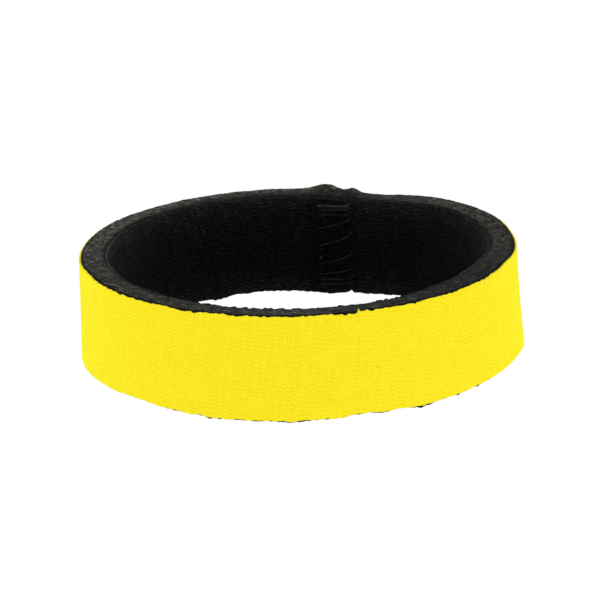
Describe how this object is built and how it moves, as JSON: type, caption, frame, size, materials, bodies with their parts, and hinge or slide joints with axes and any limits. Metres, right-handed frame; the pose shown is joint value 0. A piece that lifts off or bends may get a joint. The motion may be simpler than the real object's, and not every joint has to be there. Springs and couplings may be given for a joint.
{
  "type": "sweat wristband",
  "caption": "Slim knit-faced foam wristband: a strip of laminate bent into a ring, its ends butted and zigzag-stitched.",
  "frame": {"origin": "middle of the ring, level with the band's lower edge", "axes": "+Z along the ring's axis, up through the opening; the sewn butt seam is at +Y; +X completes the frame"},
  "size_m": [0.075, 0.0752, 0.018],
  "materials": {
    "outer_knit": "fine matte stretch knit, bright yellow",
    "glue": "cured contact adhesive, black",
    "foam": "closed-cell foam rubber, raw cut edges",
    "lining": "fine matte stretch knit, black",
    "thread": "textured polyester sewing thread, black"
  },
  "bodies": {
    "root": {"outer_knit_face": "outer_knit", "outer_glue_film": "glue", "foam_core": "foam", "inner_glue_film": "glue", "inner_knit_lining": "lining", "seam_needle_thread": "thread", "seam_bobbin_thread": "thread"}
  },
  "joints": []
}
